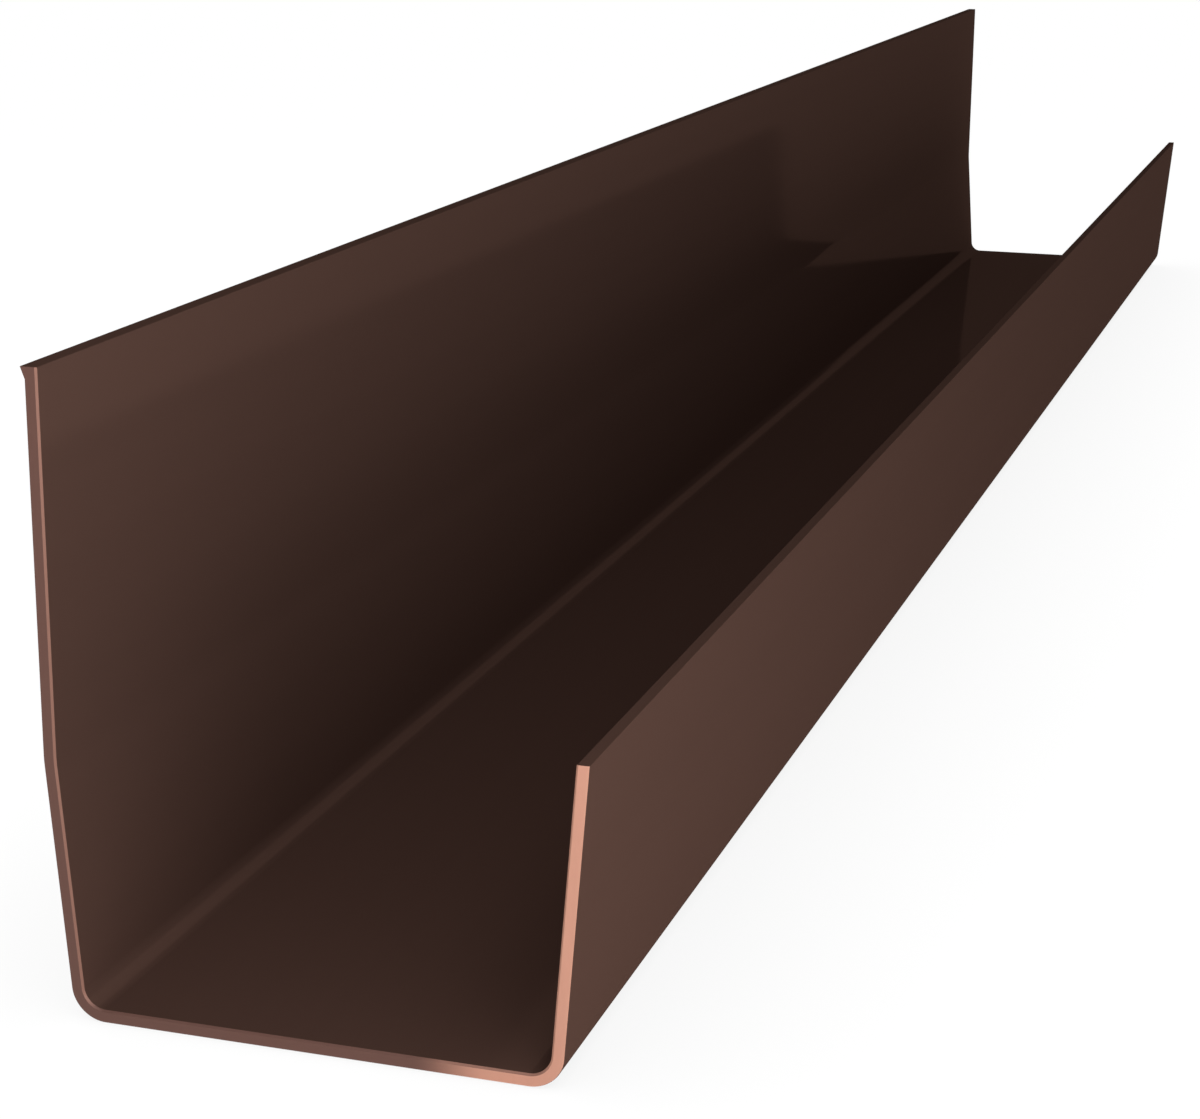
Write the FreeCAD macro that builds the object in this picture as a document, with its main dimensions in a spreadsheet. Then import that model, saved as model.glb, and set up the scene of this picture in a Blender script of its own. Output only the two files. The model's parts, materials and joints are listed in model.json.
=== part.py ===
"""A straight length of rectangular rain gutter, extruded in one piece and open along its top.

Frame: +Z up, the length along Y. The tall rear wall, which goes against the fascia, is on
the -X side and the low front wall is on the +X side. The origin is on the underside of the
floor, midway between the walls and midway along the length. Millimetres.
"""
import FreeCAD, Part
import math
import os

import Sketcher
from FreeCAD import Vector

# Driving dimensions: alias in the sheet, value, and what it measures.
SIZES = [
    ("section_length", 1000.0, "length of the piece between its two cut ends"),
    ("floor_width", 100.0, "underside, between the sharp corners with the walls' outer faces"),
    ("rear_wall_height", 129.3, "from the underside to the rear rim"),
    ("front_wall_height", 64.3, "from the underside to the front rim"),
    ("wall_thickness", 2.6, "of the floor and both walls"),
    ("wall_lean", 4.5, "degrees that the front wall and the lower rear wall lean outwards"),
    ("knee_height", 53.0, "where the rear wall turns from leaning to upright"),
    ("knee_bend_radius", 30.0, "outer radius of that turn"),
    ("corner_outer_radius", 7.0, "outer radius of the two corners beside the floor"),
    ("rim_lip_projection", 0.9, "how far the rear rim's lip stands out behind the wall"),
    ("rim_lip_height", 2.4, "from the rear rim down to where the lip meets the wall"),
    ("end_bevel", 0.4, "bevel along the channel side of each cut end"),
]

# The sketcher's own numbers: a curve's first and last point, the origin and the flat axis.
FIRST, LAST = 1, 2
ORIGIN = (-1, 1)
FLAT_AXIS = -1

CLOSE = 1e-4        # two points nearer than this are the same point

# The section's curves in the order that they are drawn: down the outer face from the rear
# rim to the front rim, and back along the channel side.
CURVES = [
    "rear_rim", "lip_underside",
    "upper_rear_outer", "knee_outer", "lower_rear_outer", "rear_corner_outer", "underside",
    "front_corner_outer", "front_outer",
    "front_rim",
    "front_inner", "front_corner_inner", "floor_top", "rear_corner_inner", "lower_rear_inner",
    "knee_inner", "upper_rear_inner",
]
CHANNEL_SIDE = CURVES[CURVES.index("front_inner"):]


def make_sheet(document):
    """Put the driving dimensions into a spreadsheet, one named cell each."""
    sheet = document.addObject("Spreadsheet::Sheet", "sizes")
    for row, (alias, value, meaning) in enumerate(SIZES, start=1):
        sheet.set("A%d" % row, alias)
        sheet.set("B%d" % row, repr(value))
        sheet.set("C%d" % row, meaning)
        sheet.setAlias("B%d" % row, alias)
    document.recompute()
    return sheet


def rounded_path(stops, radii):
    """Make the straight runs between the stops, with an arc of its own radius at each bend."""
    path = []
    run_start = stops[0]
    for corner, after, radius in zip(stops[1:-1], stops[2:], radii):
        to_before = (run_start - corner).normalize()
        to_after = (after - corner).normalize()
        half_angle = to_before.getAngle(to_after) / 2
        reach = radius / math.tan(half_angle)
        arc_start = corner + to_before * reach
        arc_end = corner + to_after * reach
        centre = corner + (to_before + to_after).normalize() * (radius / math.sin(half_angle))
        path.append(Part.LineSegment(run_start, arc_start))
        path.append(anticlockwise_arc(centre, radius, arc_start, arc_end))
        run_start = arc_end
    path.append(Part.LineSegment(run_start, stops[-1]))
    return path


def anticlockwise_arc(centre, radius, one_end, other_end):
    """Make the shorter arc between two points, running anticlockwise as the sketcher wants."""
    turns_left = (one_end - centre).cross(other_end - centre).z > 0
    ends = [one_end, other_end] if turns_left else [other_end, one_end]
    angles = [math.atan2(end.y - centre.y, end.x - centre.x) for end in ends]
    return Part.ArcOfCircle(Part.Circle(centre, Vector(0, 0, 1), radius), *angles)


def outer_corners(sheet):
    """Give the outer face's sharp corners: the knee, the rear corner and the front corner."""
    half = sheet.floor_width / 2
    knee_x = -half - sheet.knee_height * math.tan(math.radians(sheet.wall_lean))
    return [Vector(knee_x, sheet.knee_height, 0), Vector(-half, 0, 0), Vector(half, 0, 0)]


def section_curves(sheet):
    """Draw the section's curves in the order of CURVES, from the sizes in the sheet."""
    wall = sheet.wall_thickness
    lean = math.radians(sheet.wall_lean)
    leaning_wall_width = wall / math.cos(lean)
    knee, rear_corner, front_corner = outer_corners(sheet)

    lip_tip = Vector(knee.x - sheet.rim_lip_projection, sheet.rear_wall_height, 0)
    lip_root = Vector(knee.x, sheet.rear_wall_height - sheet.rim_lip_height, 0)
    rear_rim_inner = Vector(knee.x + wall, sheet.rear_wall_height, 0)
    front_rim_x = front_corner.x + sheet.front_wall_height * math.tan(lean)
    front_rim_outer = Vector(front_rim_x, sheet.front_wall_height, 0)
    front_rim_inner = Vector(front_rim_x - leaning_wall_width, sheet.front_wall_height, 0)

    floor_half = front_corner.x - leaning_wall_width + wall * math.tan(lean)
    inner_knee = Vector(knee.x + wall, knee.y - wall * math.tan(lean / 2), 0)
    inner_corners = [Vector(floor_half, wall, 0), Vector(-floor_half, wall, 0), inner_knee]

    corner_radius, knee_radius = sheet.corner_outer_radius, sheet.knee_bend_radius
    outer_face = rounded_path(
        [lip_root, knee, rear_corner, front_corner, front_rim_outer],
        [knee_radius, corner_radius, corner_radius],
    )
    channel_side = rounded_path(
        [front_rim_inner] + inner_corners + [rear_rim_inner],
        [corner_radius - wall, corner_radius - wall, knee_radius - wall],
    )
    rear_rim_and_lip = [
        Part.LineSegment(rear_rim_inner, lip_tip),
        Part.LineSegment(lip_tip, lip_root),
    ]
    front_rim = [Part.LineSegment(front_rim_outer, front_rim_inner)]
    return rear_rim_and_lip + outer_face + front_rim + channel_side


def shared_ends(curve, after):
    """Find which end of a curve meets which end of the next one."""
    pairs = []
    for end, point in ((FIRST, curve.StartPoint), (LAST, curve.EndPoint)):
        for after_end, after_point in ((FIRST, after.StartPoint), (LAST, after.EndPoint)):
            pairs.append((point.distanceToPoint(after_point), end, after_end))
    return min(pairs)[1:]


def join_curves(sketch, curves):
    """Close the outline: arcs run smoothly into their straights, rims and lip meet at corners."""
    for here, curve in enumerate(curves):
        there = (here + 1) % len(curves)
        end, after_end = shared_ends(curve, curves[there])
        smooth = isinstance(curve, Part.ArcOfCircle) or isinstance(curves[there], Part.ArcOfCircle)
        kind = "Tangent" if smooth else "Coincident"
        sketch.addConstraint(Sketcher.Constraint(kind, here, end, there, after_end))


def dimension(sketch, name, expression, kind, *arguments):
    """Add a dimension to the sketch and tie it to the sheet."""
    index = sketch.addConstraint(Sketcher.Constraint(kind, *arguments))
    sketch.renameConstraint(index, name)
    sketch.setExpression("Constraints." + name, expression)


def draw_section(body, sheet):
    """Draw the gutter's section on the body's upright XZ plane, fully constrained."""
    sketch = body.newObject("Sketcher::SketchObject", "gutter_section")
    plane = [f for f in body.Origin.OriginFeatures if f.Role == "XZ_Plane"][0]
    sketch.AttachmentSupport = [(plane, "")]
    sketch.MapMode = "FlatFace"

    curves = section_curves(sheet)
    sketch.addGeometry(curves, False)
    join_curves(sketch, curves)
    at = {name: index for index, name in enumerate(CURVES)}

    for name in ("rear_rim", "underside", "front_rim", "floor_top"):
        sketch.addConstraint(Sketcher.Constraint("Horizontal", at[name]))
    for name in ("upper_rear_outer", "upper_rear_inner"):
        sketch.addConstraint(Sketcher.Constraint("Vertical", at[name]))
    for inner, outer in (("lower_rear_inner", "lower_rear_outer"), ("front_inner", "front_outer")):
        sketch.addConstraint(Sketcher.Constraint("Parallel", at[inner], at[outer]))
    on_ground = Sketcher.Constraint("PointOnObject", at["underside"], FIRST, FLAT_AXIS)
    sketch.addConstraint(on_ground)

    meeting_curves = [
        ("upper_rear_outer", "lower_rear_outer"),
        ("lower_rear_outer", "underside"),
        ("underside", "front_outer"),
    ]
    sharp_points = []
    for corner, meeting in zip(outer_corners(sheet), meeting_curves):
        point = sketch.addGeometry(Part.Point(corner), True)
        for name in meeting:
            sketch.addConstraint(Sketcher.Constraint("PointOnObject", point, FIRST, at[name]))
        sharp_points.append(point)
    knee, rear_corner, front_corner = sharp_points

    dimension(sketch, "rear_half_width", "sizes.floor_width / 2",
              "DistanceX", rear_corner, FIRST, *ORIGIN, sheet.floor_width / 2)
    dimension(sketch, "front_half_width", "sizes.floor_width / 2",
              "DistanceX", *ORIGIN, front_corner, FIRST, sheet.floor_width / 2)
    dimension(sketch, "knee_height", "sizes.knee_height",
              "DistanceY", *ORIGIN, knee, FIRST, sheet.knee_height)
    dimension(sketch, "rear_height", "sizes.rear_wall_height",
              "DistanceY", *ORIGIN, at["rear_rim"], FIRST, sheet.rear_wall_height)
    dimension(sketch, "front_height", "sizes.front_wall_height",
              "DistanceY", *ORIGIN, at["front_rim"], FIRST, sheet.front_wall_height)

    slope = math.radians(90 - sheet.wall_lean)
    dimension(sketch, "front_slope", "(90 - sizes.wall_lean) * 1 deg",
              "Angle", at["front_outer"], slope)
    dimension(sketch, "rear_slope", "(sizes.wall_lean - 90) * 1 deg",
              "Angle", at["lower_rear_outer"], -slope)

    wall = sheet.wall_thickness
    dimension(sketch, "floor_wall", "sizes.wall_thickness",
              "DistanceY", at["underside"], LAST, at["floor_top"], FIRST, wall)
    dimension(sketch, "upper_rear_wall", "sizes.wall_thickness",
              "DistanceX", at["upper_rear_outer"], FIRST, at["upper_rear_inner"], LAST, wall)
    dimension(sketch, "lower_rear_wall", "sizes.wall_thickness",
              "Distance", at["lower_rear_inner"], FIRST, at["lower_rear_outer"], wall)
    dimension(sketch, "front_wall", "sizes.wall_thickness",
              "Distance", at["front_inner"], FIRST, at["front_outer"], wall)

    for place in ("rear_corner", "front_corner", "knee"):
        size = "knee_bend_radius" if place == "knee" else "corner_outer_radius"
        radius = sheet.getPropertyByName(size)
        dimension(sketch, place + "_outer_radius", "sizes." + size,
                  "Radius", at[place + "_outer"], radius)
        dimension(sketch, place + "_inner_radius", "sizes.%s - sizes.wall_thickness" % size,
                  "Radius", at[place + "_inner"], radius - wall)

    dimension(sketch, "lip_projection", "sizes.rim_lip_projection",
              "DistanceX", at["lip_underside"], FIRST, at["lip_underside"], LAST,
              sheet.rim_lip_projection)
    dimension(sketch, "lip_height", "sizes.rim_lip_height",
              "DistanceY", at["lip_underside"], LAST, at["lip_underside"], FIRST,
              sheet.rim_lip_height)
    return sketch


def channel_side_edges(sketch, solid):
    """Name the edges of both cut ends that border the channel, not the outer face or a rim."""
    middles = []
    for name in CHANNEL_SIDE:
        curve = sketch.Geometry[CURVES.index(name)]
        middle = curve.value((curve.FirstParameter + curve.LastParameter) / 2)
        middles.append(sketch.Placement.multVec(middle))
    names = []
    for number, edge in enumerate(solid.Edges, start=1):
        across = edge.BoundBox
        if across.YLength > CLOSE:
            continue
        for middle in middles:
            here = Part.Vertex(Vector(middle.x, across.YMin, middle.z))
            if edge.distToShape(here)[0] < CLOSE:
                names.append("Edge%d" % number)
    return names


def make_gutter(document, sheet):
    """Extrude the section to its length and bevel the channel side of both cut ends."""
    body = document.addObject("PartDesign::Body", "gutter_channel")
    body.Label = "gutter_channel"
    section = draw_section(body, sheet)
    document.recompute()
    if not section.FullyConstrained:
        raise RuntimeError("the gutter's section isn't fully constrained")

    length = body.newObject("PartDesign::Pad", "gutter_length")
    length.Profile = section
    length.SideType = "Symmetric"
    length.setExpression("Length", "sizes.section_length")
    document.recompute()

    bevel = body.newObject("PartDesign::Chamfer", "end_bevels")
    bevel.Base = (length, channel_side_edges(section, length.Shape))
    bevel.setExpression("Size", "sizes.end_bevel")
    document.recompute()
    return body


def check(document, bodies):
    """Stop if a feature has failed or a solid isn't sound."""
    for item in document.Objects:
        if "Invalid" in item.State or "Error" in item.State:
            raise RuntimeError("%s failed: %s" % (item.Label, item.State))
    for body in bodies:
        shape = body.Shape
        if shape.isNull() or not shape.isValid() or len(shape.Solids) != 1:
            raise RuntimeError("%s isn't one sound solid" % body.Label)


def main():
    document = FreeCAD.newDocument("rain_gutter")
    sheet = make_sheet(document)
    bodies = [make_gutter(document, sheet)]
    check(document, bodies)

    os.makedirs("parts", exist_ok=True)
    for body in bodies:
        body.Shape.exportStep("parts/%s.step" % body.Label)
        box = body.Shape.BoundBox
        print(
            "%s: %.1f x %.1f x %.1f mm, %.1f cm3, from x %.2f to %.2f"
            % (body.Label, box.XLength, box.YLength, box.ZLength,
               body.Shape.Volume / 1000, box.XMin, box.XMax)
        )


main()
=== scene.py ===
"""A straight length of brown rectangular rain gutter, dressed and lit in a plain pale studio.

The channel is one extruded piece, open along its top. Its tall rear wall is on the -X side,
its low front wall on the +X side, and its length runs along Y. Metres, with +Z up.
"""

import json
import logging
import math
from dataclasses import dataclass
from enum import Enum

import bmesh
import bpy
from mathutils import Matrix, Vector


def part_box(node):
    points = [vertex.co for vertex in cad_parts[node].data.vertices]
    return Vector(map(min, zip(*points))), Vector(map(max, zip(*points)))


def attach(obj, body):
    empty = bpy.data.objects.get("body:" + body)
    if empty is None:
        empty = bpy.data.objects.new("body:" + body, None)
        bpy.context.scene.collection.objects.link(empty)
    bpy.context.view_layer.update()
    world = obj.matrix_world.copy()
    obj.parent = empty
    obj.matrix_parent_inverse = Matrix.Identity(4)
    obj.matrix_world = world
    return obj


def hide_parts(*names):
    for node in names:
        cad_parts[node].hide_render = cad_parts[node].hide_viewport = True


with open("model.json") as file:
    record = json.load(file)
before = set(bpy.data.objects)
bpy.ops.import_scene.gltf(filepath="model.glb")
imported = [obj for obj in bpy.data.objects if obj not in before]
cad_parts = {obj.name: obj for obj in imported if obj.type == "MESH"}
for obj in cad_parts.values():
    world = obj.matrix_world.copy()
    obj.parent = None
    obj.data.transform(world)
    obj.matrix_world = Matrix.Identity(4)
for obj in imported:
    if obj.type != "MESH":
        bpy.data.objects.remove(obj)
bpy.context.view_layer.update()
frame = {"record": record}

log = logging.getLogger("rain_gutter")

CLOSE = 1e-6        # two points nearer than this are the same point
WHITE = (1.0, 1.0, 1.0, 1.0)

# How much of a face's normal runs along the length, which tells the faces of an end apart.
LONG_FACE = 0.05        # less: a face that runs along the length
CUT_OR_BEVEL = 0.3      # more: the cut or its bevel, before its outer edge is rounded
STEEP_HALF = 0.6        # less: the half of the rounded edge that is nearest to the skin
FLAT_CUT = 0.97         # more: the flat of the cut


class Surface(Enum):
    """The finishes of the channel, by their place among its material slots."""

    SKIN = 0
    CUT = 1


# ---------------------------------------------------------------------------------------
# Shader building
# ---------------------------------------------------------------------------------------


class NodeTable:
    """Adds nodes to a tree and joins them, so that a finish reads as a list of steps."""

    def __init__(self, tree: bpy.types.NodeTree) -> None:
        """Start on a tree.

        Args:
            tree: the node tree of a material, a world or a group.
        """
        self.tree = tree

    def add(self, kind: str, **settings: object) -> bpy.types.Node:
        """Add one node.

        Args:
            kind: the node's type, such as ShaderNodeTexNoise.
            settings: its properties by name.

        Returns:
            The new node.
        """
        node = self.tree.nodes.new(kind)
        for name, value in settings.items():
            setattr(node, name, value)
        return node

    def join(self, source: bpy.types.NodeSocket, target: bpy.types.NodeSocket) -> None:
        """Lead one socket into another.

        Args:
            source: the socket that gives the value.
            target: the socket that takes it.
        """
        self.tree.links.new(source, target)

    def math(self, operation: str, first: object, second: object = 0.0) -> bpy.types.NodeSocket:
        """Combine two numbers or sockets.

        Args:
            operation: the Math node's operation.
            first: a socket or a number.
            second: a socket or a number.

        Returns:
            The socket of the result.
        """
        node = self.add("ShaderNodeMath", operation=operation)
        for socket, value in zip(node.inputs, (first, second)):
            self.feed(socket, value)
        return node.outputs[0]

    def feed(self, socket: bpy.types.NodeSocket, value: object) -> None:
        """Give a socket a link when the value is a socket, and a plain value otherwise.

        Args:
            socket: the socket that takes the value.
            value: a socket, a number or a colour.
        """
        if isinstance(value, bpy.types.NodeSocket):
            self.join(value, socket)
        else:
            socket.default_value = value

    def spread(
        self, value: bpy.types.NodeSocket, low: float, high: float, start: float, end: float
    ) -> bpy.types.NodeSocket:
        """Map a range of a value smoothly onto another range.

        Args:
            value: the socket to map.
            low: the value that gives start.
            high: the value that gives end.
            start: the result at and below low.
            end: the result at and above high.

        Returns:
            The socket of the result.
        """
        node = self.add("ShaderNodeMapRange", interpolation_type="SMOOTHSTEP")
        self.join(value, node.inputs["Value"])
        for name, number in (
            ("From Min", low), ("From Max", high), ("To Min", start), ("To Max", end),
        ):
            node.inputs[name].default_value = number
        return node.outputs["Result"]

    def blend(
        self, share: object, first: object, second: object, kind: str = "MIX"
    ) -> bpy.types.NodeSocket:
        """Blend two colours.

        Args:
            share: how much of the second colour shows, from 0 to 1.
            first: a colour or a socket.
            second: a colour or a socket.
            kind: the Mix node's blend type.

        Returns:
            The socket of the blended colour.
        """
        node = self.add("ShaderNodeMix", data_type="RGBA", blend_type=kind)
        self.feed(node.inputs["Factor"], share)
        self.feed(node.inputs["A"], first)
        self.feed(node.inputs["B"], second)
        return node.outputs["Result"]

    def noise(
        self, place: bpy.types.NodeSocket, scale: object, detail: float
    ) -> bpy.types.NodeSocket:
        """Give soft noise from 0 to 1.

        Args:
            place: the socket that gives the place.
            scale: how many blots there are to a unit, as a number or a socket.
            detail: how many finer layers lie over the first.

        Returns:
            The socket of the noise.
        """
        node = self.add("ShaderNodeTexNoise")
        self.join(place, node.inputs["Vector"])
        self.feed(node.inputs["Scale"], scale)
        node.inputs["Detail"].default_value = detail
        return node.outputs["Fac"]

    def show(self, shader: bpy.types.Node) -> None:
        """Lead a shader to the material's output.

        Args:
            shader: the finished shader.
        """
        output = self.add("ShaderNodeOutputMaterial")
        self.join(shader.outputs[0], output.inputs["Surface"])

    def cover(self, body: bpy.types.Node, gloss: bpy.types.Node, share: float) -> None:
        """Lay a share of gloss over a body and lead both to the material's output.

        Args:
            body: the shader underneath.
            gloss: the glossy shader on top.
            share: how much of the gloss shows, from 0 to 1.
        """
        mixed = self.add("ShaderNodeMixShader")
        mixed.inputs["Fac"].default_value = share
        self.join(body.outputs[0], mixed.inputs[1])
        self.join(gloss.outputs[0], mixed.inputs[2])
        self.show(mixed)


def new_group(name: str, inputs: dict[str, float], outputs: list[str]) -> bpy.types.NodeTree:
    """Make an empty shader node group that works on object coordinates.

    Args:
        name: the group's name.
        inputs: each number that it takes, with its usual value.
        outputs: each number that it gives.

    Returns:
        The group, with its input and output nodes in place.
    """
    group = bpy.data.node_groups.new(name, "ShaderNodeTree")
    group.interface.new_socket("Place", in_out="INPUT", socket_type="NodeSocketVector")
    for label, value in inputs.items():
        socket = group.interface.new_socket(label, in_out="INPUT", socket_type="NodeSocketFloat")
        socket.default_value = value
    for label in outputs:
        group.interface.new_socket(label, in_out="OUTPUT", socket_type="NodeSocketFloat")
    group.nodes.new("NodeGroupInput")
    group.nodes.new("NodeGroupOutput")
    return group


def group_ends(group: bpy.types.NodeTree) -> tuple[bpy.types.Node, bpy.types.Node]:
    """Find the two ends of a group.

    Args:
        group: the node group.

    Returns:
        Its input node and its output node.
    """
    ends = {node.bl_idname: node for node in group.nodes}
    return ends["NodeGroupInput"], ends["NodeGroupOutput"]


@dataclass(frozen=True)
class DrawLines:
    """The faint lines that a die or a saw leaves, all running one way."""

    name: str = "draw_lines"
    usual_lines: float = 900.0
    fine_scale: float = 1.0
    fine_detail: float = 2.0
    coarse_scale: float = 0.23
    coarse_detail: float = 1.0
    coarse_share: float = 0.65

    def group(self) -> bpy.types.NodeTree:
        """Build the group once and give the same one afterwards.

        Returns:
            A group that takes a place, stretched so that lines run along its last axis,
            and the number of lines to a metre, and gives their height and a broad shade.
        """
        if self.name in bpy.data.node_groups:
            return bpy.data.node_groups[self.name]
        group = new_group(self.name, {"Lines": self.usual_lines}, ["Height", "Shade"])
        table = NodeTable(group)
        start, end = group_ends(group)
        scaled = table.add("ShaderNodeVectorMath", operation="SCALE")
        table.join(start.outputs["Place"], scaled.inputs["Vector"])
        table.join(start.outputs["Lines"], scaled.inputs["Scale"])
        fine = table.noise(scaled.outputs["Vector"], self.fine_scale, self.fine_detail)
        coarse = table.noise(scaled.outputs["Vector"], self.coarse_scale, self.coarse_detail)
        height = table.math("MULTIPLY", coarse, self.coarse_share)
        rest = table.math("MULTIPLY", fine, 1.0 - self.coarse_share)
        table.join(table.math("ADD", height, rest), end.inputs["Height"])
        table.join(coarse, end.inputs["Shade"])
        return group


@dataclass(frozen=True)
class Handling:
    """Fine dust and light scuffs from being carried and stacked."""

    name: str = "handling"
    usual_patches: float = 14.0
    usual_specks: float = 900.0
    patch_detail: float = 4.0
    patch_edge: tuple[float, float] = (0.42, 0.72)
    speck_edge: tuple[float, float] = (0.06, 0.16)

    def group(self) -> bpy.types.NodeTree:
        """Build the group once and give the same one afterwards.

        Returns:
            A group that takes a place and the numbers of patches and specks to a metre,
            and gives how dusty and how scuffed each spot is, from 0 to 1.
        """
        if self.name in bpy.data.node_groups:
            return bpy.data.node_groups[self.name]
        usual = {"Patches": self.usual_patches, "Specks": self.usual_specks}
        group = new_group(self.name, usual, ["Dust", "Scuff"])
        table = NodeTable(group)
        start, end = group_ends(group)
        patch = table.noise(start.outputs["Place"], start.outputs["Patches"], self.patch_detail)
        speck = table.add("ShaderNodeTexVoronoi")
        table.join(start.outputs["Place"], speck.inputs["Vector"])
        table.join(start.outputs["Specks"], speck.inputs["Scale"])
        dusty = table.spread(patch, *self.patch_edge, 0.0, 1.0)
        near = table.spread(speck.outputs["Distance"], *self.speck_edge, 1.0, 0.0)
        table.join(table.math("MULTIPLY", dusty, near), end.inputs["Dust"])
        table.join(dusty, end.inputs["Scuff"])
        return group


def place_group(
    table: NodeTable, group: bpy.types.NodeTree, place: bpy.types.NodeSocket, **values: float
) -> bpy.types.Node:
    """Put a group into a material and set what it takes.

    Args:
        table: the material's node table.
        group: the node group.
        place: the socket that gives the place.
        values: the group's other inputs by name.

    Returns:
        The group's node.
    """
    node = table.add("ShaderNodeGroup", node_tree=group)
    table.join(place, node.inputs["Place"])
    for name, value in values.items():
        node.inputs[name].default_value = value
    return node


def object_place(
    table: NodeTable, stretch: tuple[float, float, float] = (1.0, 1.0, 1.0)
) -> bpy.types.NodeSocket:
    """Give object coordinates, each axis scaled by its own stretch.

    Args:
        table: the material's node table.
        stretch: the scale of each axis. A small one draws a pattern out along it.

    Returns:
        The socket of the coordinates.
    """
    place = table.add("ShaderNodeTexCoord")
    mapping = table.add("ShaderNodeMapping")
    table.join(place.outputs["Object"], mapping.inputs["Vector"])
    mapping.inputs["Scale"].default_value = stretch
    return mapping.outputs["Vector"]


def new_material(name: str) -> tuple[bpy.types.Material, NodeTable, bpy.types.Node]:
    """Make a material with one Principled BSDF.

    Args:
        name: the material's name.

    Returns:
        The material, its node table and its shader.
    """
    material = bpy.data.materials.new(name)
    material.use_nodes = True
    material.node_tree.nodes.clear()
    table = NodeTable(material.node_tree)
    shader = table.add("ShaderNodeBsdfPrincipled")
    return material, table, shader


@dataclass(frozen=True)
class BrownSkin:
    """The smooth dark brown skin, with a weak brown gloss over a matt body."""

    name: str = "brown_skin"
    colour: tuple[float, float, float] = (0.0936, 0.0506, 0.0392)
    gloss: float = 0.0173
    gloss_colour: tuple[float, float, float] = (0.615, 0.334, 0.249)
    roughness: float = 0.08
    roughness_swing: float = 0.05
    colour_swing: float = 0.05
    dust_colour: tuple[float, float, float] = (0.34, 0.29, 0.26)
    dust_share: float = 0.03
    lines: float = 700.0
    line_stretch: tuple[float, float, float] = (1.0, 0.012, 1.0)
    line_height: float = 0.00001
    patches: float = 11.0
    specks: float = 650.0
    mark_stretch: tuple[float, float, float] = (1.0, 0.35, 1.0)

    def material(self) -> bpy.types.Material:
        """Build the skin's material.

        Returns:
            A matt body under a thin share of tinted gloss.
        """
        material, table, shader = new_material(self.name)
        along = object_place(table, self.line_stretch)
        lines = place_group(table, DrawLines().group(), along, Lines=self.lines)
        rubbed = object_place(table, self.mark_stretch)
        marks = place_group(table, Handling().group(), rubbed,
                            Patches=self.patches, Specks=self.specks)

        base = (*self.colour, 1.0)
        deep = (*(part * (1.0 - self.colour_swing) for part in self.colour), 1.0)
        tone = table.blend(lines.outputs["Shade"], deep, base)
        dust = table.math("MULTIPLY", marks.outputs["Dust"], self.dust_share)
        dusty = table.blend(dust, tone, (*self.dust_colour, 1.0))
        table.join(dusty, shader.inputs["Base Color"])
        shader.inputs["Specular IOR Level"].default_value = 0.0

        shine = table.add("ShaderNodeBsdfAnisotropic", distribution="GGX")
        shine.inputs["Color"].default_value = (*self.gloss_colour, 1.0)
        rough = table.spread(marks.outputs["Scuff"], 0.0, 1.0, self.roughness,
                             self.roughness + self.roughness_swing)
        table.join(rough, shine.inputs["Roughness"])
        table.join(rough, shader.inputs["Roughness"])

        bump = table.add("ShaderNodeBump")
        bump.inputs["Distance"].default_value = self.line_height
        table.join(lines.outputs["Height"], bump.inputs["Height"])
        for lobe in (shader, shine):
            table.join(bump.outputs["Normal"], lobe.inputs["Normal"])
        table.cover(shader, shine, self.gloss)
        return material


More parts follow.
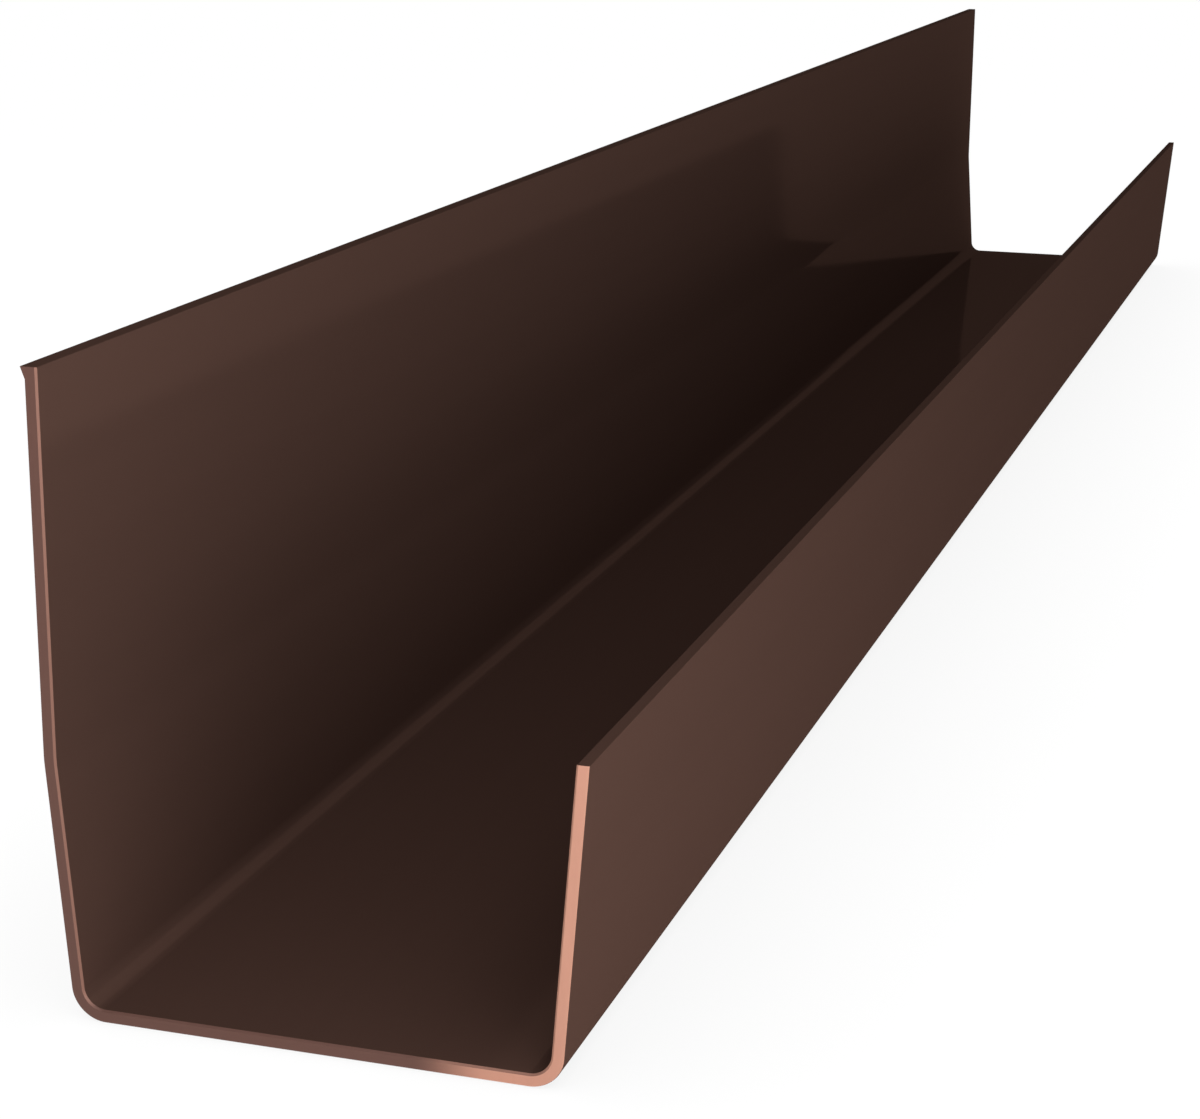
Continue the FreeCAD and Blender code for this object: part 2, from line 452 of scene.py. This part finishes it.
@dataclass(frozen=True)
class SawnFace:
    """The sawn face of the ends: the salmon body of the wall, with painted shade towards the
    rear.
    """

    name: str = "sawn_face"
    colour: tuple[float, float, float] = (0.591, 0.290, 0.206)
    # painted shade: a dark brown laid over the rear part of the cut and on the bevel that looks
    # up, in place of shade
    painted_shade_colour: tuple[float, float, float] = (0.140, 0.067, 0.052)
    painted_shade_start: float = 0.037
    painted_shade_full: float = 0.020
    bevel_turn: tuple[float, float] = (0.25, 0.70)
    bevel_painted_shade: float = 0.73
    upward_painted_shade: float = 0.65
    colour_swing: float = 0.08
    metal: float = 0.15
    specular: float = 0.2
    roughness: float = 0.35
    roughness_swing: float = 0.10
    saw_lines: float = 2600.0
    saw_stretch: tuple[float, float, float] = (1.0, 1.0, 0.06)
    saw_height: float = 0.00001
    patches: float = 60.0
    specks: float = 2400.0

    def painted_shade(self, table: NodeTable) -> bpy.types.NodeSocket:
        """Give the share of painted shade on the cut: darker towards the rear, and set by which
        way a bevel looks.

        Args:
            table: the material's node table.

        Returns:
            1 on the rear part of the flat cut, less on the bevel that looks across the
            channel there, 0 on the front part, and a share on the bevel that looks up.
        """
        place = table.add("ShaderNodeTexCoord")
        where = table.add("ShaderNodeSeparateXYZ")
        table.join(place.outputs["Object"], where.inputs["Vector"])
        # painted shade: full on the rear part of the cut, none on the front part
        rearward = table.spread(where.outputs["X"], self.painted_shade_full, self.painted_shade_start, 1.0, 0.0)
        facing = table.add("ShaderNodeSeparateXYZ")
        table.join(place.outputs["Normal"], facing.inputs["Vector"])
        # painted shade set by facing: less on the bevel that looks across the channel, a share
        # on the bevel that looks up
        kept = table.spread(facing.outputs["X"], *self.bevel_turn, 1.0, self.bevel_painted_shade)
        upward = table.spread(facing.outputs["Z"], *self.bevel_turn, 0.0, self.upward_painted_shade)
        return table.math("MAXIMUM", table.math("MULTIPLY", rearward, kept), upward)

    def material(self) -> bpy.types.Material:
        """Build the material of the sawn ends.

        Returns:
            A satin body with saw lines, in the salmon colour and a painted shade colour, which
            meet in a soft blend.
        """
        material, table, shader = new_material(self.name)
        across = object_place(table, self.saw_stretch)
        saw = place_group(table, DrawLines().group(), across, Lines=self.saw_lines)
        marks = place_group(table, Handling().group(), object_place(table),
                            Patches=self.patches, Specks=self.specks)
        base = (*self.colour, 1.0)
        deep = (*(part * (1.0 - self.colour_swing) for part in self.colour), 1.0)
        tone = table.blend(saw.outputs["Shade"], deep, base)
        # painted shade: the cut's colour darkened towards the rear and on the bevel that looks
        # up
        shaded_tone = table.blend(self.painted_shade(table), tone, (*self.painted_shade_colour, 1.0))
        table.join(shaded_tone, shader.inputs["Base Color"])
        rough = table.spread(marks.outputs["Scuff"], 0.0, 1.0, self.roughness,
                             self.roughness + self.roughness_swing)
        table.join(rough, shader.inputs["Roughness"])
        shader.inputs["Metallic"].default_value = self.metal
        shader.inputs["Specular IOR Level"].default_value = self.specular
        bump = table.add("ShaderNodeBump")
        bump.inputs["Distance"].default_value = self.saw_height
        table.join(saw.outputs["Height"], bump.inputs["Height"])
        table.join(bump.outputs["Normal"], shader.inputs["Normal"])
        table.show(shader)
        return material


# ---------------------------------------------------------------------------------------
# The channel
# ---------------------------------------------------------------------------------------


@dataclass
class GutterChannel:
    """The extruded channel: floor, low front wall and tall rear wall with its knee and lip."""

    length: float
    rear_height: float
    front_height: float
    front_reach: float
    rear_reach: float
    wall: float = 0.0026
    lean: float = math.radians(4.5)
    knee_radius: float = 0.030
    corner_radius: float = 0.007
    lip_projection: float = 0.0009
    lip_height: float = 0.0024
    end_bevel: float = 0.0004
    skin_edge: float = 0.00032
    rim_round: float = 0.00025
    corner_segments: int = 24
    knee_segments: int = 8
    bevel_segments: int = 1
    skin_segments: int = 2
    rim_segments: int = 3
    sharp_turn: float = math.radians(30.0)
    node: str = "gutter_channel"
    body: str = "root"
    slot: str = "brown_pvc"

    @classmethod
    def from_frame(cls, node: str) -> "GutterChannel":
        """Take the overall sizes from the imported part.

        Args:
            node: the part's node for the channel.

        Returns:
            A channel of the same size and place.
        """
        low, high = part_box(node)
        mounts = {mount["name"]: Vector(mount["pos_m"]) for mount in frame["record"]["mounts"]}
        return cls(
            length=high.y - low.y,
            rear_height=high.z,
            front_height=mounts["front_rim"].z,
            front_reach=high.x,
            rear_reach=-low.x,
            node=node,
        )

    @property
    def half_floor(self) -> float:
        """Half the underside's width, between the sharp corners with the outer faces."""
        return self.front_reach - self.front_height * math.tan(self.lean)

    @property
    def knee_height(self) -> float:
        """Where the rear wall turns from leaning to upright."""
        overhang = self.rear_reach - self.lip_projection - self.half_floor
        return overhang / math.tan(self.lean)

    @property
    def near_end(self) -> Vector:
        """The middle of the near cut end's underside."""
        return Vector((0.0, -self.length / 2, 0.0))

    @property
    def outer_corners(self) -> dict[str, Vector]:
        """Place the sharp corners of the outer face.

        Returns:
            The corners by name, from the lip to the front rim.
        """
        rear_x = self.lip_projection - self.rear_reach
        return {
            "lip_tip": Vector((-self.rear_reach, 0.0, self.rear_height)),
            "lip_root": Vector((rear_x, 0.0, self.rear_height - self.lip_height)),
            "outer_knee": Vector((rear_x, 0.0, self.knee_height)),
            "outer_rear_corner": Vector((-self.half_floor, 0.0, 0.0)),
            "outer_front_corner": Vector((self.half_floor, 0.0, 0.0)),
            "outer_front_rim": Vector((self.front_reach, 0.0, self.front_height)),
        }

    @property
    def inner_corners(self) -> dict[str, Vector]:
        """Place the sharp corners of the channel side.

        Returns:
            The corners by name, from the front rim to the rear rim.
        """
        across_lean = self.wall / math.cos(self.lean)
        inner_half = self.half_floor - across_lean + self.wall * math.tan(self.lean)
        rear_x = self.lip_projection - self.rear_reach + self.wall
        knee_z = self.knee_height - self.wall * math.tan(self.lean / 2)
        return {
            "inner_front_rim": Vector((self.front_reach - across_lean, 0.0, self.front_height)),
            "inner_front_corner": Vector((inner_half, 0.0, self.wall)),
            "inner_rear_corner": Vector((-inner_half, 0.0, self.wall)),
            "inner_knee": Vector((rear_x, 0.0, knee_z)),
            "inner_rear_rim": Vector((rear_x, 0.0, self.rear_height)),
        }

    def build(self) -> bpy.types.Object:
        """Extrude the section, round its corners and dress its cut ends.

        Returns:
            The finished piece, placed in its mesh.
        """
        corners = {**self.outer_corners, **self.inner_corners}
        sheet = bmesh.new()
        self.extrude_section(sheet, list(corners.values()))
        inner_radius = self.corner_radius - self.wall
        rounds = {
            "outer_knee": (self.knee_radius, self.knee_segments),
            "inner_knee": (self.knee_radius - self.wall, self.knee_segments),
            "outer_rear_corner": (self.corner_radius, self.corner_segments),
            "outer_front_corner": (self.corner_radius, self.corner_segments),
            "inner_rear_corner": (inner_radius, self.corner_segments),
            "inner_front_corner": (inner_radius, self.corner_segments),
        }
        names = list(corners)
        for name, (radius, segments) in rounds.items():
            here = names.index(name)
            before = corners[names[here - 1]]
            after = corners[names[(here + 1) % len(names)]]
            turn = (corners[name] - before).angle(after - corners[name])
            reach = radius * math.tan(turn / 2)
            self.bevel(sheet, self.long_edges(sheet, corners[name]), reach, segments)
        self.dress_ends(sheet)
        for name in ("lip_tip", "outer_front_rim", "inner_front_rim", "inner_rear_rim"):
            edges = self.long_edges(sheet, corners[name])
            self.bevel(sheet, edges, self.rim_round, self.rim_segments)
        return self.finish(sheet)

    def extrude_section(self, sheet: bmesh.types.BMesh, corners: list[Vector]) -> None:
        """Fill the section at the near end and extrude it to the far end.

        Args:
            sheet: the mesh to build in.
            corners: the section's sharp corners in order.
        """
        outline = [sheet.verts.new(corner + self.near_end) for corner in corners]
        section = sheet.faces.new(outline)
        grown = bmesh.ops.extrude_face_region(sheet, geom=[section], use_keep_orig=True)
        moved = [item for item in grown["geom"] if isinstance(item, bmesh.types.BMVert)]
        bmesh.ops.translate(sheet, verts=moved, vec=(0.0, self.length, 0.0))
        bmesh.ops.recalc_face_normals(sheet, faces=sheet.faces)

    def long_edges(self, sheet: bmesh.types.BMesh, corner: Vector) -> list[bmesh.types.BMEdge]:
        """Find the edges that run along the length at a corner of the section.

        Args:
            sheet: the mesh.
            corner: the corner. Its place along the length is left out.

        Returns:
            The edges.
        """
        found = []
        for edge in sheet.edges:
            first, last = (vert.co for vert in edge.verts)
            level = (first - last).xz.length < CLOSE
            if level and (first - corner).xz.length < CLOSE and abs(first.y - last.y) > CLOSE:
                found.append(edge)
        return found

    @staticmethod
    def bevel(
        sheet: bmesh.types.BMesh, edges: list[bmesh.types.BMEdge], reach: float, segments: int
    ) -> None:
        """Bevel or round edges.

        Args:
            sheet: the mesh.
            edges: the edges to take off.
            reach: how far the bevel reaches along each face.
            segments: 1 for a flat bevel, more for a round one.
        """
        bmesh.ops.bevel(
            sheet, geom=edges, offset=reach, offset_type="OFFSET", segments=segments,
            profile=0.5, affect="EDGES", material=-1, clamp_overlap=False, loop_slide=True,
        )

    def faces_channel(self, face: bmesh.types.BMFace) -> bool:
        """Tell whether a face looks into the channel.

        Args:
            face: a face of the mesh.

        Returns:
            True where it looks towards the channel's middle line.
        """
        inside = Vector((0.0, 0.0, self.front_height / 2))
        towards = inside - face.calc_center_median()
        towards.y = 0.0
        return face.normal.dot(towards) > 0.0

    def dress_ends(self, sheet: bmesh.types.BMesh) -> None:
        """Bevel the channel side of both ends, and show the skin's edge round the outside.

        Args:
            sheet: the mesh, with its corners rounded and its rims still sharp.
        """
        channel_side, outside = [], []
        for edge in sheet.edges:
            first, last = (vert.co.y for vert in edge.verts)
            if abs(first - last) > CLOSE:
                continue
            side = min(edge.link_faces, key=lambda face: abs(face.normal.y))
            (channel_side if self.faces_channel(side) else outside).append(edge)
        self.bevel(sheet, channel_side, self.end_bevel, self.bevel_segments)
        for face in sheet.faces:
            if abs(face.normal.y) > CUT_OR_BEVEL:
                face.material_index = Surface.CUT.value
        outside = [edge for edge in outside if edge.is_valid]
        self.bevel(sheet, outside, self.skin_edge, self.skin_segments)
        for face in sheet.faces:
            along = abs(face.normal.y)
            if LONG_FACE < along < FLAT_CUT and not self.faces_channel(face):
                surface = Surface.SKIN if along < STEEP_HALF else Surface.CUT
                face.material_index = surface.value

    def finish(self, sheet: bmesh.types.BMesh) -> bpy.types.Object:
        """Turn the mesh into a smoothly shaded object.

        Args:
            sheet: the finished mesh, which is freed.

        Returns:
            The object, with its sharp edges kept.
        """
        bmesh.ops.dissolve_degenerate(sheet, dist=CLOSE, edges=sheet.edges)
        bmesh.ops.recalc_face_normals(sheet, faces=sheet.faces)
        for face in sheet.faces:
            face.smooth = True
        for edge in sheet.edges:
            edge.smooth = edge.calc_face_angle(0.0) < self.sharp_turn
        mesh = bpy.data.meshes.new("gutter_section")
        sheet.to_mesh(mesh)
        sheet.free()
        piece = bpy.data.objects.new("gutter_section", mesh)
        bpy.context.scene.collection.objects.link(piece)
        weighted = piece.modifiers.new("even_shading", "WEIGHTED_NORMAL")
        weighted.keep_sharp = True
        return piece

    def dress(self, piece: bpy.types.Object) -> None:
        """Give the piece its finishes and tie it to the part.

        Args:
            piece: the built channel.
        """
        piece.data.materials.append(BrownSkin().material())
        piece.data.materials.append(SawnFace().material())
        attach(piece, self.body)
        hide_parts(self.node)


# ---------------------------------------------------------------------------------------
# The studio
# ---------------------------------------------------------------------------------------


@dataclass
class SoftLamp:
    """A soft square lamp that points at a place on the gutter."""

    name: str
    place: tuple[float, float, float]
    aim: tuple[float, float, float]
    spread: float
    power: float

    def hang(self) -> bpy.types.Object:
        """Hang the lamp.

        Returns:
            The lamp's object.
        """
        away = Vector(self.place) - Vector(self.aim)
        data = bpy.data.lights.new(self.name, "AREA")
        data.shape = "SQUARE"
        data.size = self.spread * away.length
        data.energy = self.power
        lamp = bpy.data.objects.new(self.name, data)
        lamp.location = self.place
        lamp.rotation_euler = away.to_track_quat("Z", "Y").to_euler()
        lamp.visible_camera = False
        bpy.context.scene.collection.objects.link(lamp)
        return lamp


@dataclass
class StudioCamera:
    """The camera, placed from the middle of the near cut end's underside."""

    eye: tuple[float, float, float] = (0.19097, -0.43067, 0.22804)
    azimuth: float = 17.325
    elevation: float = -15.531
    roll: float = 0.436
    lens: float = 80.83
    sensor: float = 36.0
    clip_start: float = 0.01
    clip_end: float = 100.0

    def stand(self, near_end: Vector) -> bpy.types.Object:
        """Set the camera up.

        Args:
            near_end: the middle of the near cut end's underside.

        Returns:
            The camera's object.
        """
        data = bpy.data.cameras.new("studio_camera")
        data.lens = self.lens
        data.sensor_width = self.sensor
        data.sensor_fit = "HORIZONTAL"
        data.clip_start = self.clip_start
        data.clip_end = self.clip_end
        camera = bpy.data.objects.new("studio_camera", data)
        turn = Matrix.Rotation(math.radians(self.azimuth), 4, "Z")
        rise = Matrix.Rotation(math.radians(90.0 + self.elevation), 4, "X")
        tilt = Matrix.Rotation(math.radians(self.roll), 4, "Z")
        camera.matrix_world = (
            Matrix.Translation(near_end + Vector(self.eye)) @ turn @ rise @ tilt
        )
        bpy.context.scene.collection.objects.link(camera)
        bpy.context.scene.camera = camera
        return camera


@dataclass
class Studio:
    """A plain pale floor that glows like a light table, under a white surround, with lamps."""

    floor_half: float = 6.0
    floor_drop: float = 0.0001
    floor_colour: tuple[float, float, float] = (0.80, 0.80, 0.80)
    floor_light: float = 0.47
    paper_share: float = 0.06
    shadow_depth: float = 0.16
    shadow_reach: float = 0.08
    shadow_samples: int = 16
    ambient: float = 0.08
    surround: float = 1.0
    surround_in_gloss: float = 0.8
    floor_lift: float = 0.03

    @staticmethod
    def seen_by(table: NodeTable, *rays: str) -> bpy.types.NodeSocket:
        """Tell the rays that see the surround as a picture from those that carry light.

        Args:
            table: the node table of a material or a world.
            rays: kinds of ray, such as Camera or Glossy.

        Returns:
            The socket of a mask: 1 for a ray of one of these kinds, and 0 for others.
        """
        path = table.add("ShaderNodeLightPath")
        seen = path.outputs[f"Is {rays[0]} Ray"]
        for kind in rays[1:]:
            seen = table.math("MAXIMUM", seen, path.outputs[f"Is {kind} Ray"])
        return seen

    def lay_floor(self) -> bpy.types.Object:
        """Lay the floor just under the gutter.

        Returns:
            The floor, marked as part of the stage.
        """
        sheet = bmesh.new()
        bmesh.ops.create_grid(sheet, x_segments=1, y_segments=1, size=self.floor_half)
        bmesh.ops.translate(sheet, verts=sheet.verts, vec=(0.0, 0.0, -self.floor_drop))
        mesh = bpy.data.meshes.new("studio_floor")
        sheet.to_mesh(mesh)
        sheet.free()
        floor = bpy.data.objects.new("studio_floor", mesh)
        bpy.context.scene.collection.objects.link(floor)
        mesh.materials.append(self.floor_material())
        return floor

    def floor_material(self) -> bpy.types.Material:
        """Paint the floor.

        Returns:
            Glowing pale paper for light, and white with a soft shadow to the eye.
        """
        material = bpy.data.materials.new("pale_floor")
        material.use_nodes = True
        material.node_tree.nodes.clear()
        table = NodeTable(material.node_tree)
        paper = table.add("ShaderNodeBsdfDiffuse")
        paper.inputs["Color"].default_value = (*self.floor_colour, 1.0)
        glow = table.add("ShaderNodeEmission")
        glow.inputs["Strength"].default_value = self.floor_light
        lit_paper = table.add("ShaderNodeAddShader")
        table.join(paper.outputs["BSDF"], lit_paper.inputs[0])
        table.join(glow.outputs["Emission"], lit_paper.inputs[1])
        openness = table.add("ShaderNodeAmbientOcclusion", samples=self.shadow_samples)
        openness.inputs["Distance"].default_value = self.shadow_reach
        covered = table.math("SUBTRACT", 1.0, openness.outputs["AO"])
        shadow = table.math("MULTIPLY", covered, self.shadow_depth)
        white = table.add("ShaderNodeEmission")
        brightness = table.math("SUBTRACT", self.surround + self.floor_lift, shadow)
        table.join(brightness, white.inputs["Strength"])
        mixed = table.add("ShaderNodeMixShader")
        seen = self.seen_by(table, "Camera", "Glossy", "Transmission")
        table.join(table.math("MULTIPLY", seen, 1.0 - self.paper_share), mixed.inputs["Fac"])
        table.join(lit_paper.outputs["Shader"], mixed.inputs[1])
        table.join(white.outputs["Emission"], mixed.inputs[2])
        table.show(mixed)
        return material

    def fill_world(self) -> None:
        """Fill the surround: white to the eye, pale in gloss, a weak even light otherwise."""
        world = bpy.data.worlds.new("white_surround")
        world.use_nodes = True
        world.node_tree.nodes.clear()
        table = NodeTable(world.node_tree)
        background = table.add("ShaderNodeBackground")
        background.inputs["Color"].default_value = WHITE
        output = table.add("ShaderNodeOutputWorld")
        plain = self.seen_by(table, "Camera", "Transmission")
        mirrored = self.seen_by(table, "Glossy")
        extra = table.math(
            "MAXIMUM",
            table.math("MULTIPLY", plain, self.surround - self.ambient),
            table.math("MULTIPLY", mirrored, self.surround_in_gloss - self.ambient),
        )
        table.join(table.math("ADD", extra, self.ambient), background.inputs["Strength"])
        table.join(background.outputs["Background"], output.inputs["Surface"])
        bpy.context.scene.world = world

    @staticmethod
    def lamps() -> list[SoftLamp]:
        """List the lamps.

        Returns:
            One for the near end and the front face, one for the open mouth, one from
            above for the far half, and one for the rear face.
        """
        return [
            SoftLamp("key_lamp", place=(0.5, -0.7, 0.15), aim=(0.0, -0.35, 0.06),
                     spread=0.6, power=1.25),
            SoftLamp("mouth_lamp", place=(0.1, -0.75, 0.25), aim=(0.0, -0.375, 0.06),
                     spread=0.8, power=0.92),
            SoftLamp("sky_lamp", place=(0.6, 0.2, 1.2), aim=(0.0, 0.1, 0.06),
                     spread=0.6, power=1.88),
            SoftLamp("back_lamp", place=(-0.9, 0.1, 0.22), aim=(-0.05, 0.0, 0.07),
                     spread=0.45, power=3.6),
        ]

    def build(self, near_end: Vector) -> None:
        """Lay the floor, fill the surround, hang the lamps and stand the camera.

        Args:
            near_end: the middle of the near cut end's underside.
        """
        self.lay_floor()
        self.fill_world()
        for lamp in self.lamps():
            lamp.hang()
        StudioCamera().stand(near_end)
        bpy.context.scene.view_settings.view_transform = "Standard"


def main() -> None:
    """Build the gutter, then the studio round it, and report each piece."""
    logging.basicConfig(level=logging.INFO, format="%(name)s: %(message)s")
    channel = GutterChannel.from_frame("gutter_channel")
    piece = channel.build()
    channel.dress(piece)
    log.info("%s: %d faces, %.1f mm long", piece.name, len(piece.data.polygons),
             channel.length * 1000)
    Studio().build(channel.near_end)
    log.info("studio: floor, surround, lamps and camera")


if __name__ == "__main__":
    main()
